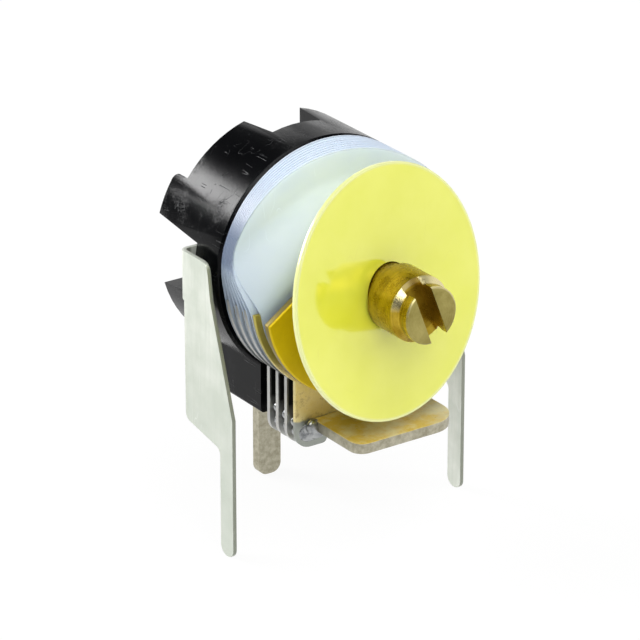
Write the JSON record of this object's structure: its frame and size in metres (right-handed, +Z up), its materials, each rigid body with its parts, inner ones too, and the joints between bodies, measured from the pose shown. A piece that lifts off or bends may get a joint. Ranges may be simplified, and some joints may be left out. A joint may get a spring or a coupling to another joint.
{
  "type": "trimmer capacitor",
  "caption": "Film trimmer capacitor with a turned brass adjuster, moulded drum housing and three pins for a printed circuit board.",
  "frame": {"origin": "midpoint between the tips of the two side pins", "axes": "Z up from the pin tips, Y to the rear along the adjuster's axis, X to the right seen from the slotted end"},
  "size_m": [0.0104, 0.0107, 0.0147],
  "materials": {
    "moulding": "moulded, scratched",
    "tinned": "dull tin plate",
    "stator_metal": "stamped",
    "terminal_metal": "tarnished plate",
    "solder": "flowed solder",
    "film": "translucent film",
    "cover": "smooth film",
    "turned_brass": "turned",
    "rotor_brass": "stamped",
    "spring_metal": "plain"
  },
  "bodies": {
    "frame": {"housing": "moulding", "rotor_bracket": "tinned", "stator_terminal": "terminal_metal", "tab_solder": "solder", "stator_plate_1": "stator_metal", "stator_plate_2": "stator_metal", "stator_plate_3": "stator_metal", "stator_plate_4": "stator_metal", "film_disc_1": "film", "film_disc_2": "film", "film_disc_3": "film", "film_disc_4": "film", "film_disc_5": "film", "film_disc_6": "film", "film_disc_7": "film", "film_disc_8": "film"},
    "rotor": {"rotor_shaft": "turned_brass", "rotor_end_plate": "rotor_brass", "rotor_plate_1": "rotor_brass", "rotor_plate_2": "rotor_brass", "rotor_plate_3": "rotor_brass", "rotor_spacer_1": "turned_brass", "rotor_spacer_2": "turned_brass", "rotor_spacer_3": "turned_brass", "rotor_spacer_4": "turned_brass", "cover_disc": "cover", "spring_washer": "spring_metal", "retaining_washer": "spring_metal"}
  },
  "joints": [
    {"name": "rotor_spin", "type": "hinge", "parent": "frame", "child": "rotor", "pos_m": [0, 0, 0.0101], "axis": [0, 1, 0], "continuous": true, "deforming": ["film_disc_1", "film_disc_2", "film_disc_3", "film_disc_4", "film_disc_5", "film_disc_6", "film_disc_7", "film_disc_8"]}
  ]
}
